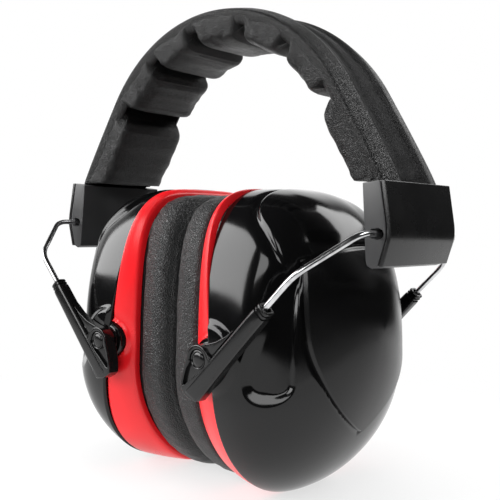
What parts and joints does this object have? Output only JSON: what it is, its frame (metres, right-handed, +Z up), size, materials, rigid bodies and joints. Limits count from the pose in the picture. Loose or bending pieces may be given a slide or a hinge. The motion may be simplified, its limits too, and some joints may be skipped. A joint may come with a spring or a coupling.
{
  "type": "earmuff hearing protector",
  "caption": "Over-the-head ear-muff hearing protector: padded headband, wire yokes with sliding arms, and deep tilting ear cups with cushions.",
  "frame": {"origin": "middle of the plane that the two cups stand on, halfway between the cups", "axes": "+Z up to the headband's crown, X across the head from ear to ear (+X is the right cup in this model), -Y towards the wearer's face"},
  "size_m": [0.1554, 0.092, 0.1684],
  "materials": {
    "gloss_shell": "polished black moulded plastic",
    "arm_plastic": "semi-gloss black moulded plastic",
    "satin_plastic": "satin dark grey moulded plastic",
    "red_trim": "gloss red moulded plastic",
    "grained_leatherette": "pebble-grained black leatherette over foam",
    "smooth_leatherette": "smooth padded black leatherette",
    "foam": "open-cell dark grey foam",
    "steel_wire": "bright drawn steel wire",
    "spring_steel": "blued spring steel strip"
  },
  "bodies": {
    "headband": {"spring_strip": "spring_steel", "headband_cover": "smooth_leatherette", "headband_pad_1": "grained_leatherette", "headband_pad_2": "grained_leatherette", "headband_pad_3": "grained_leatherette", "headband_pad_4": "grained_leatherette", "headband_pad_5": "grained_leatherette", "headband_pad_6": "grained_leatherette", "headband_pad_7": "grained_leatherette", "end_cap_casing_left": "satin_plastic", "end_cap_cover_left": "satin_plastic", "end_cap_casing_right": "satin_plastic", "end_cap_cover_right": "satin_plastic"},
    "yoke_left": {"wire_yoke_left": "steel_wire"},
    "yoke_right": {"wire_yoke_right": "steel_wire"},
    "arms_left": {"arm_front_left": "arm_plastic", "arm_rear_left": "arm_plastic", "pivot_pin_front_left": "arm_plastic", "pivot_pin_rear_left": "arm_plastic"},
    "arms_right": {"arm_front_right": "arm_plastic", "arm_rear_right": "arm_plastic", "pivot_pin_front_right": "arm_plastic", "pivot_pin_rear_right": "arm_plastic"},
    "cup_left": {"cup_shell_left": "gloss_shell", "shield_panel_left": "gloss_shell", "trim_ring_left": "red_trim", "cushion_plate_left": "satin_plastic", "ear_cushion_left": "grained_leatherette", "foam_liner_left": "foam", "pivot_boss_front_left": "gloss_shell", "pivot_boss_rear_left": "gloss_shell"},
    "cup_right": {"cup_shell_right": "gloss_shell", "shield_panel_right": "gloss_shell", "trim_ring_right": "red_trim", "cushion_plate_right": "satin_plastic", "ear_cushion_right": "grained_leatherette", "foam_liner_right": "foam", "pivot_boss_front_right": "gloss_shell", "pivot_boss_rear_right": "gloss_shell"}
  },
  "joints": [
    {"name": "yoke_swing_right", "type": "hinge", "parent": "headband", "child": "yoke_right", "pos_m": [0.0726, 0, 0.0899], "axis": [0, -1, 0], "range_deg": [0, 60]},
    {"name": "yoke_swing_left", "type": "hinge", "parent": "headband", "child": "yoke_left", "pos_m": [-0.0726, 0, 0.0899], "axis": [0, 1, 0], "range_deg": [0, 60]},
    {"name": "height_slide_right", "type": "slide", "parent": "yoke_right", "child": "arms_right", "axis": [-0.7009, 0, -0.7133], "range_m": [-0.003, 0.01], "deforming": ["ear_cushion_right"]},
    {"name": "height_slide_left", "type": "slide", "parent": "yoke_left", "child": "arms_left", "axis": [0.7009, 0, -0.7133], "range_m": [-0.003, 0.01], "deforming": ["ear_cushion_left"]},
    {"name": "cup_tilt_right", "type": "hinge", "parent": "arms_right", "child": "cup_right", "pos_m": [0.0248, 0, 0.04896], "axis": [0, -1, 0], "range_deg": [-8, 8]},
    {"name": "cup_tilt_left", "type": "hinge", "parent": "arms_left", "child": "cup_left", "pos_m": [-0.0248, 0, 0.04896], "axis": [0, 1, 0], "range_deg": [-8, 8]}
  ]
}
